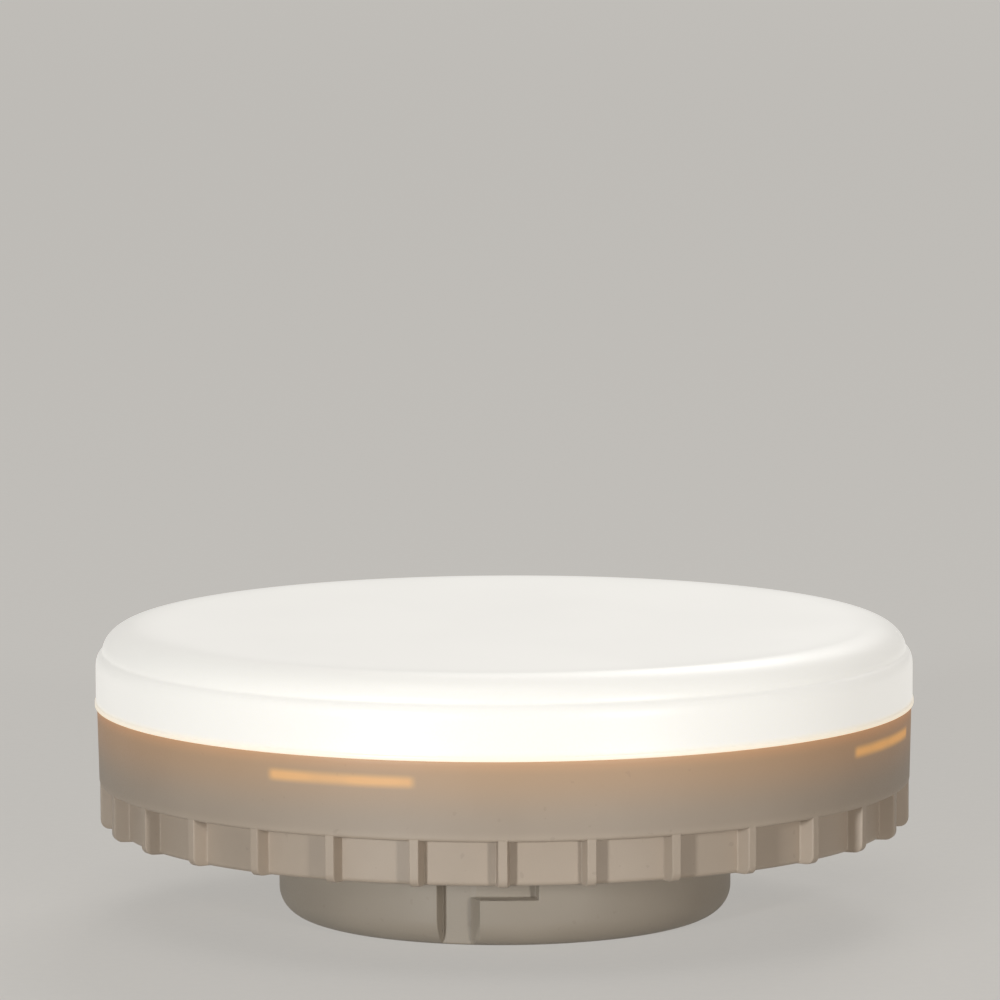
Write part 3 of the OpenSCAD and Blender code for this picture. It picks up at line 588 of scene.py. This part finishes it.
class Finish:
    """A material with one Principled shader. Constants go on the shader's own sockets, and what changes
    over the surface is linked."""

    def __init__(self, name, **constants):
        self.material = bpy.data.materials.new(name)
        self.material.use_nodes = True
        self.tree = self.material.node_tree
        self.tree.nodes.clear()
        self.shader = self.node("ShaderNodeBsdfPrincipled", {}, {})
        output = self.node("ShaderNodeOutputMaterial", {}, {})
        self.tree.links.new(self.shader.outputs[0], output.inputs["Surface"])
        for socket, value in constants.items():
            self.feed(self.shader.inputs[socket.replace("_", " ").title()], value)
        self.place = Signal(self, self.node("ShaderNodeTexCoord", {}, {}).outputs["Object"])

    def feed(self, socket, value):
        """Links a Signal to a socket, or sets the socket's own value."""
        if isinstance(value, Signal):
            self.tree.links.new(value.socket, socket)
        elif isinstance(value, tuple) and socket.type == "RGBA":
            socket.default_value = (*value, 1)
        else:
            socket.default_value = value

    def node(self, kind, settings, sockets):
        """Adds a node of a type. Settings come first, because they can change the sockets. A setting
        called stops fills a colour ramp with (place, colour) pairs."""
        made = self.tree.nodes.new(kind)
        for name, value in settings.items():
            if name == "stops":
                for number, (place, colour) in enumerate(value):
                    stops = made.color_ramp.elements
                    stop = stops[number] if number < len(stops) else stops.new(place)
                    stop.position = place
                    stop.color = (*colour, 1)
            else:
                setattr(made, name, value)
        for name, value in sockets.items():
            self.feed(made.inputs[name], value)
        return made

    def maths(self, operation, *values):
        """One Math node on signals and numbers."""
        made = self.node("ShaderNodeMath", {"operation": operation}, dict(enumerate(values)))
        return Signal(self, made.outputs[0])

    def mix(self, share, first, second):
        """A colour between first and second, from 0 to 1 of share."""
        made = self.node("ShaderNodeMix", {"data_type": "RGBA"}, {0: share, 6: first, 7: second})
        return Signal(self, made.outputs[2])

    def noise(self, scale, detail=2, vector=None, output="Fac"):
        """Smooth noise, about 0.5 in the middle, with scale lumps to a metre."""
        made = self.node("ShaderNodeTexNoise", {}, {
            "Vector": vector or self.place, "Scale": scale, "Detail": detail})
        return Signal(self, made.outputs[output])

    def ramp(self, value, low, high, to_low=0, to_high=1):
        """A smooth step: to_low below low, to_high above high."""
        made = self.node("ShaderNodeMapRange", {"interpolation_type": "SMOOTHSTEP"}, {
            "Value": value, "From Min": low, "From Max": high, "To Min": to_low, "To Max": to_high})
        return Signal(self, made.outputs["Result"])

    def axes(self):
        """The x, y and z of a point of the object, in metres."""
        made = self.node("ShaderNodeSeparateXYZ", {}, {"Vector": self.place})
        return [Signal(self, output) for output in made.outputs]

    def radius(self):
        """Distance from the lamp's axis: the root of x squared plus y squared."""
        x, y, z = self.axes()
        return self.maths("SQRT", x * x + y * y)

    def bump(self, height, distance, strength=1):
        """Raises the surface by height times distance and feeds the shader's Normal."""
        made = self.node("ShaderNodeBump", {}, {
            "Height": height, "Distance": distance, "Strength": strength})
        self.feed(self.shader.inputs["Normal"], Signal(self, made.outputs[0]))

    def set(self, **signals):
        """Feeds the shader's sockets by name: base_color, roughness, emission_color and so on."""
        for socket, value in signals.items():
            self.feed(self.shader.inputs[socket.replace("_", " ").title()], value)


def linear(red, green, blue):
    """A colour as a screen shows it, 0 to 255, in the linear values that nodes take."""
    shares = [value / 255 for value in (red, green, blue)]
    return tuple(s / 12.92 if s <= 0.04045 else ((s + 0.055) / 1.055) ** 2.4 for s in shares)


def scaled(colour, factor):
    """A colour made lighter or darker by a factor."""
    return tuple(min(1, value * factor) for value in colour)


def wear(piece_object, finish):
    """Gives an object a finish in all its slots, or in a new one."""
    if not piece_object.material_slots:
        piece_object.data.materials.append(finish.material)
    for material_slot in piece_object.material_slots:
        material_slot.material = finish.material


print("shader helpers are ready")

# %% [markdown]
# The housing is a warm grey plastic, satin from the mould's spark-eroded surface: a very fine grain,
# slow shifts of tone where the melt flowed, and a few specks of dust. The plastic lets a little of the
# lamp's own light through. It glows orange just under the cover and at four windows, where the pockets
# for the snap lugs leave the band thin. That glow is emission, masked by height and angle. The base
# colour also holds painted light: an amber painted glow towards the cover, a painted shade that darkens
# the band above the bays, and a greyer, darker painted shade on the hub.

# %% Housing plastic
housing_colour = linear(174, 159, 143)
housing_shade = linear(168, 153, 137)
# The next two colours are painted light, not colours of the plastic: a glow tint and a hub shade.
painted_glow_tint = linear(164, 144, 115)
painted_hub_shade = linear(142, 136, 124)
glow_colour = (0.40, 0.16, 0.005)
rim_glow_colour = (0.30, 0.085, 0.01)
finish = Finish("housing_plastic", emission_strength=1)
x, y, z = finish.axes()
flow = finish.noise(90, detail=3)
grain = finish.noise(7000, detail=2)
specks = finish.ramp(finish.noise(1500, detail=0), 0.80, 0.84)
tone = finish.mix(finish.ramp(flow, 0.35, 0.65), housing_shade, housing_colour)
# Painted shade: the band above the bays is darkened, though it is the same plastic.
tone = finish.mix(finish.ramp(z, band_z, band_z + 1 * MM) * 0.5, tone, scaled(housing_shade, 0.82))
# Painted glow: the base colour turns amber towards the cover, where the lamp's light shows through.
tone = finish.mix(finish.ramp(z, joint_z - 6 * MM, joint_z) * 0.7, tone, painted_glow_tint)
# Painted shade: the hub is painted greyer and darker than the rest of the same moulding.
hub_shade_share = finish.ramp(finish.radius(), hub_r + 0.1 * MM, hub_r + 0.6 * MM, 1, 0)
tone = finish.mix(hub_shade_share * 0.55, tone, painted_hub_shade)
finish.set(base_color=finish.mix(specks * 0.2, tone, scaled(housing_shade, 0.6)))
finish.set(roughness=finish.ramp(grain, 0.3, 0.7, 0.46, 0.58))
finish.bump(grain + flow * 0.6, 0.000012, 0.5)

turn = finish.maths("ARCTAN2", y, x)
along = finish.maths("COSINE", (turn - lug_turn) * lug_count)
ends = finish.ramp(along, math.cos(2 * math.radians(22.4)), math.cos(2 * math.radians(19.4)))
from_middle = finish.maths("ABSOLUTE", z - pocket_z)
sides = finish.ramp(from_middle, 0.05 * MM, 0.78 * MM, 1, 0)
uneven = finish.ramp(finish.noise(260, detail=1), 0.2, 0.8, 0.85, 1.1)
outside = finish.ramp(finish.radius(), band_r - 0.5 * MM, band_r - 0.3 * MM)
window = ends * sides * uneven * outside
below_joint = joint_z - z
close_glow = finish.ramp(below_joint, 0, 1.3 * MM, 1, 0) * 0.30
wide_glow = finish.ramp(below_joint, 0, 6 * MM, 1, 0) * 0.32
rim_light = finish.mix((close_glow + wide_glow) * outside, (0, 0, 0), rim_glow_colour)
finish.set(emission_color=finish.mix(window, rim_light, glow_colour))
wear(housing, finish)
print("housing plastic:", len(finish.tree.nodes), "nodes")

# %% [markdown]
# The cover is opal polycarbonate, lit from behind. A real one scatters the light inside its wall, which
# is slow to render and can't be exported. Here the wall is a pale satin plastic that also emits: near
# white all over, a trace dimmer towards the shoulder, and warm at the bead where the wall ends.

# %% Opal cover
cover_colour = linear(202, 199, 192)
lit_colour = (1.0, 0.985, 0.95)
edge_colour = (1.0, 0.80, 0.52)
finish = Finish("opal_cover", roughness=0.38, emission_strength=0.57)
x, y, z = finish.axes()
cloud = finish.noise(60, detail=2)
pearl = finish.noise(5200, detail=1)
lit = finish.mix(finish.ramp(cloud, 0.3, 0.7), lit_colour, scaled(lit_colour, 0.97))
rim_share = finish.ramp(z, joint_z, joint_z + 0.9 * MM, 1, 0)
shoulder_share = finish.ramp(finish.radius(), 31 * MM, 37.4 * MM) * 0.4
lit = finish.mix(shoulder_share, lit, scaled(lit_colour, 0.5))
finish.set(emission_color=finish.mix(rim_share * 0.8, lit, edge_colour))
finish.set(base_color=finish.mix(finish.ramp(pearl, 0.3, 0.7), cover_colour, scaled(cover_colour, 0.97)))
finish.set(roughness=finish.ramp(cloud, 0.3, 0.7, 0.34, 0.44))
finish.bump(pearl, 0.000006, 0.4)
wear(cover, finish)
print("opal cover:", len(finish.tree.nodes), "nodes")

# %% [markdown]
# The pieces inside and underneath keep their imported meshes. Each family of finish is one function with
# a few numbers: moulded or dipped plastics get a grain and a slow change of tone, metals get the marks
# of how they were worked, and boards get a solder mask with a weave under it.

# %% Finishes for the small pieces
def plastic(name, colour, roughness, grain_scale, relief, mottling=0.12):
    """Plastic, rubber or enamel: tone shifts by mottling, and a grain of grain_scale lumps to a metre
    stands relief metres proud and changes the roughness."""
    finish = Finish(name)
    grain = finish.noise(grain_scale, detail=2)
    flow = finish.noise(320, detail=2)
    tone = finish.mix(finish.ramp(flow, 0.3, 0.7),
                      scaled(colour, 1 - mottling), scaled(colour, 1 + mottling))
    finish.set(base_color=tone, roughness=finish.ramp(grain, 0.3, 0.7, roughness - 0.06, roughness + 0.06))
    finish.bump(grain, relief, 0.6)
    return finish


def metal(name, colour, roughness, stretch, relief):
    """Worked metal: noise stretched by the three factors of stretch gives lathe rings or rolling lines,
    and a second noise gives patches where it has dulled."""
    finish = Finish(name, metallic=1.0)
    moved = finish.node("ShaderNodeMapping", {}, {"Vector": finish.place, "Scale": stretch})
    lines = finish.noise(100, detail=4, vector=Signal(finish, moved.outputs[0]))
    dull = finish.ramp(finish.noise(420, detail=3), 0.4, 0.7)
    finish.set(base_color=finish.mix(dull * 0.5, colour, scaled(colour, 0.78)))
    finish.set(roughness=finish.ramp(lines, 0.3, 0.7, roughness - 0.08, roughness + 0.1) + dull * 0.08)
    finish.bump(lines, relief, 0.5)
    return finish


def board(name, colour, roughness):
    """A printed board: a glass weave shows as two crossed waves under a satin solder mask."""
    finish = Finish(name)
    weave = [finish.node("ShaderNodeTexWave", {"bands_direction": axis, "wave_profile": "SIN"}, {
        "Vector": finish.place, "Scale": 300, "Distortion": 0.4}) for axis in ("X", "Y")]
    cloth = Signal(finish, weave[0].outputs["Fac"]) * Signal(finish, weave[1].outputs["Fac"])
    pooled = finish.noise(260, detail=2)
    tone = finish.mix(finish.ramp(pooled, 0.3, 0.7), scaled(colour, 0.88), colour)
    finish.set(base_color=finish.mix(cloth * 0.25, tone, scaled(colour, 1.25)))
    finish.set(roughness=finish.ramp(pooled, 0.3, 0.7, roughness - 0.05, roughness + 0.08))
    finish.bump(cloth, 0.000008, 0.4)
    return finish


def wound(name, colour, turns_scale):
    """Tape or sleeve over windings: fine bands along Y, each with its own edge, under a gloss."""
    finish = Finish(name, roughness=0.3, coat_weight=0.4)
    bands = finish.node("ShaderNodeTexWave", {"bands_direction": "Y", "wave_profile": "SAW"}, {
        "Vector": finish.place, "Scale": turns_scale, "Distortion": 0.3, "Detail": 1})
    band = Signal(finish, bands.outputs["Fac"])
    finish.set(base_color=finish.mix(band, scaled(colour, 0.75), scaled(colour, 1.1)))
    finish.bump(band, 0.00004, 0.7)
    return finish


def phosphor(name, colour):
    """A light source seen from outside: a yellow gel in a pale frame, which glows by itself."""
    finish = Finish(name, roughness=0.3, emission_strength=0.8)
    gel = finish.noise(2600, detail=1)
    tone = finish.mix(finish.ramp(gel, 0.3, 0.7), scaled(colour, 0.85), colour)
    glow = finish.mix(finish.ramp(gel, 0.3, 0.7), (1, 0.72, 0.35), (1, 0.86, 0.6))
    finish.set(base_color=tone, emission_color=glow)
    finish.bump(gel, 0.00002, 0.4)
    return finish


finishes = {
    "spreader_aluminium": metal("spreader_aluminium", linear(205, 207, 210), 0.36, (0.6, 30, 30), 0.00001),
    "pad_silicone": plastic("pad_silicone", linear(143, 154, 166), 0.75, 3500, 0.00002),
    "board_white": board("board_white", linear(238, 238, 233), 0.42),
    "led_phosphor": phosphor("led_phosphor", linear(240, 210, 90)),
    "terminal_nylon": plastic("terminal_nylon", linear(242, 239, 228), 0.45, 5200, 0.00001, 0.04),
    "screw_steel": metal("screw_steel", linear(186, 188, 192), 0.3, (12, 12, 60), 0.00001),
    "pin_metal": metal("pin_metal", linear(206, 178, 112), 0.26, (2, 2, 90), 0.000012),
    "film_polyester": plastic("film_polyester", linear(233, 226, 184), 0.25, 900, 0.00003, 0.06),
    "board_green": board("board_green", linear(47, 122, 76), 0.38),
    "can_sleeve": plastic("can_sleeve", linear(56, 60, 80), 0.32, 1800, 0.00002),
    "film_cap_epoxy": plastic("film_cap_epoxy", linear(181, 69, 47), 0.28, 700, 0.00006),
    "ferrite": plastic("ferrite", linear(60, 58, 61), 0.6, 6200, 0.00002, 0.2),
    "resistor_coat": plastic("resistor_coat", linear(127, 176, 160), 0.5, 2600, 0.00003),
    "bobbin_plastic": plastic("bobbin_plastic", linear(38, 39, 43), 0.5, 4800, 0.00001),
    "winding_tape": wound("winding_tape", linear(201, 162, 39), 1300),
    "chip_epoxy": plastic("chip_epoxy", linear(33, 33, 36), 0.55, 8200, 0.00001, 0.18),
    "chip_ceramic": plastic("chip_ceramic", linear(169, 130, 90), 0.4, 6800, 0.00001),
    "wire_blue": wound("wire_blue", linear(58, 110, 168), 900),
    "wire_brown": wound("wire_brown", linear(122, 74, 46), 900),
    "wire_red": wound("wire_red", linear(184, 50, 42), 900),
    "wire_black": wound("wire_black", linear(38, 39, 43), 900),
}
print(len(finishes), "finishes")

# %% [markdown]
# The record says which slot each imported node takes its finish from, so the finishes are handed out by
# reading it. The two turned pins are new pieces and get theirs by name.

# %% Hand out the finishes
slot_of = {part["node"]: part["material_slot"] for part in frame["record"]["subparts"]}
for node, packed in frame["nodes"].items():
    if slot_of[node] in finishes:
        wear(packed, finishes[slot_of[node]])
for side in ("left", "right"):
    wear(bpy.data.objects["turned_pin_" + side], finishes["pin_metal"])
print("dressed:", sorted(slot_of))

# %% [markdown]
# The floor is a wide pale sheet. It takes the lamp's shadow like any matte surface, and for the camera
# it is mixed with an even tone of its own, so that it stays the same pale grey up to the top of the
# picture. Glossy and transmitted rays see that tone too.

# %% Floor
floor_half = 6
floor_drop = 0.02 * MM
floor_colour = linear(214, 211, 206)
floor_mesh = bpy.data.meshes.new("floor")
floor_mesh.from_pydata([(-floor_half, -floor_half, -floor_drop), (floor_half, -floor_half, -floor_drop),
                        (floor_half, floor_half, -floor_drop), (-floor_half, floor_half, -floor_drop)],
                       [], [(0, 1, 2, 3)])
floor = bpy.data.objects.new("floor", floor_mesh)
bpy.context.scene.collection.objects.link(floor)
finish = Finish("floor", roughness=0.9)
fleck = finish.noise(900, detail=3)
finish.set(base_color=finish.mix(finish.ramp(fleck, 0.3, 0.7), scaled(floor_colour, 0.97), floor_colour))
even = finish.node("ShaderNodeEmission", {}, {"Color": floor_colour, "Strength": 1.0})
rays = finish.node("ShaderNodeLightPath", {}, {})
seen = finish.maths("MAXIMUM", Signal(finish, rays.outputs["Is Camera Ray"]),
                    Signal(finish, rays.outputs["Is Glossy Ray"]))
seen = finish.maths("MAXIMUM", seen, Signal(finish, rays.outputs["Is Transmission Ray"]))
blended = finish.node("ShaderNodeMixShader", {}, {"Fac": seen * 0.6})
finish.tree.links.new(finish.shader.outputs[0], blended.inputs[1])
finish.tree.links.new(even.outputs[0], blended.inputs[2])
ending = [n for n in finish.tree.nodes if n.type == "OUTPUT_MATERIAL"][0]
finish.tree.links.new(blended.outputs[0], ending.inputs["Surface"])
wear(floor, finish)
print("floor", 2 * floor_half, "m wide")

# %% [markdown]
# The photo's shadows between the ribs say where its light comes from: a narrow lamp low on the left, a
# weaker one low on the right. Both are small here too, so the ribs and the edge above them throw crisp
# shadows. Two wide lamps light the top and the back. A lamp of P watts at a distance d lights a white
# surface to P / (pi d) squared of white, which is how the powers are chosen.

# %% Lights
def strip_light(name, azimuth, elevation, distance, width, height, level, colour):
    """An area lamp of width by height that looks at the object and lights it to level, where 1 is full
    white. Its power is level times (pi times distance) squared."""
    a = math.radians(azimuth)
    e = math.radians(elevation)
    towards = Vector((math.sin(a) * math.cos(e), -math.cos(a) * math.cos(e), math.sin(e)))
    data = bpy.data.lights.new(name, "AREA")
    data.shape = "RECTANGLE"
    data.size = width
    data.size_y = height
    data.energy = level * (math.pi * distance) ** 2
    data.color = colour
    lamp = bpy.data.objects.new(name, data)
    lamp.location = Vector((0, 0, joint_z / 2)) + towards * distance
    lamp.rotation_euler = (-towards).to_track_quat("-Z", "Y").to_euler()
    bpy.context.scene.collection.objects.link(lamp)


strip_light("key", -31, 7.5, 1.5, 0.14, 0.2, 0.54, (0.95, 0.98, 1))
strip_light("right", 33, 7.5, 1.5, 0.14, 0.2, 0.33, (1, 0.98, 0.95))
strip_light("overhead", -20, 72, 1.6, 1, 1, 0.15, (1, 0.99, 0.97))
strip_light("back", 165, 40, 5, 2.2, 2.2, 0.24, (1, 0.99, 0.97))
world = bpy.data.worlds.new("studio")
world.use_nodes = True
background = world.node_tree.nodes["Background"]
background.inputs["Color"].default_value = (1, 0.96, 0.90, 1)
background.inputs["Strength"].default_value = 0.11
bpy.context.scene.world = world
bpy.context.scene.view_settings.view_transform = "Standard"
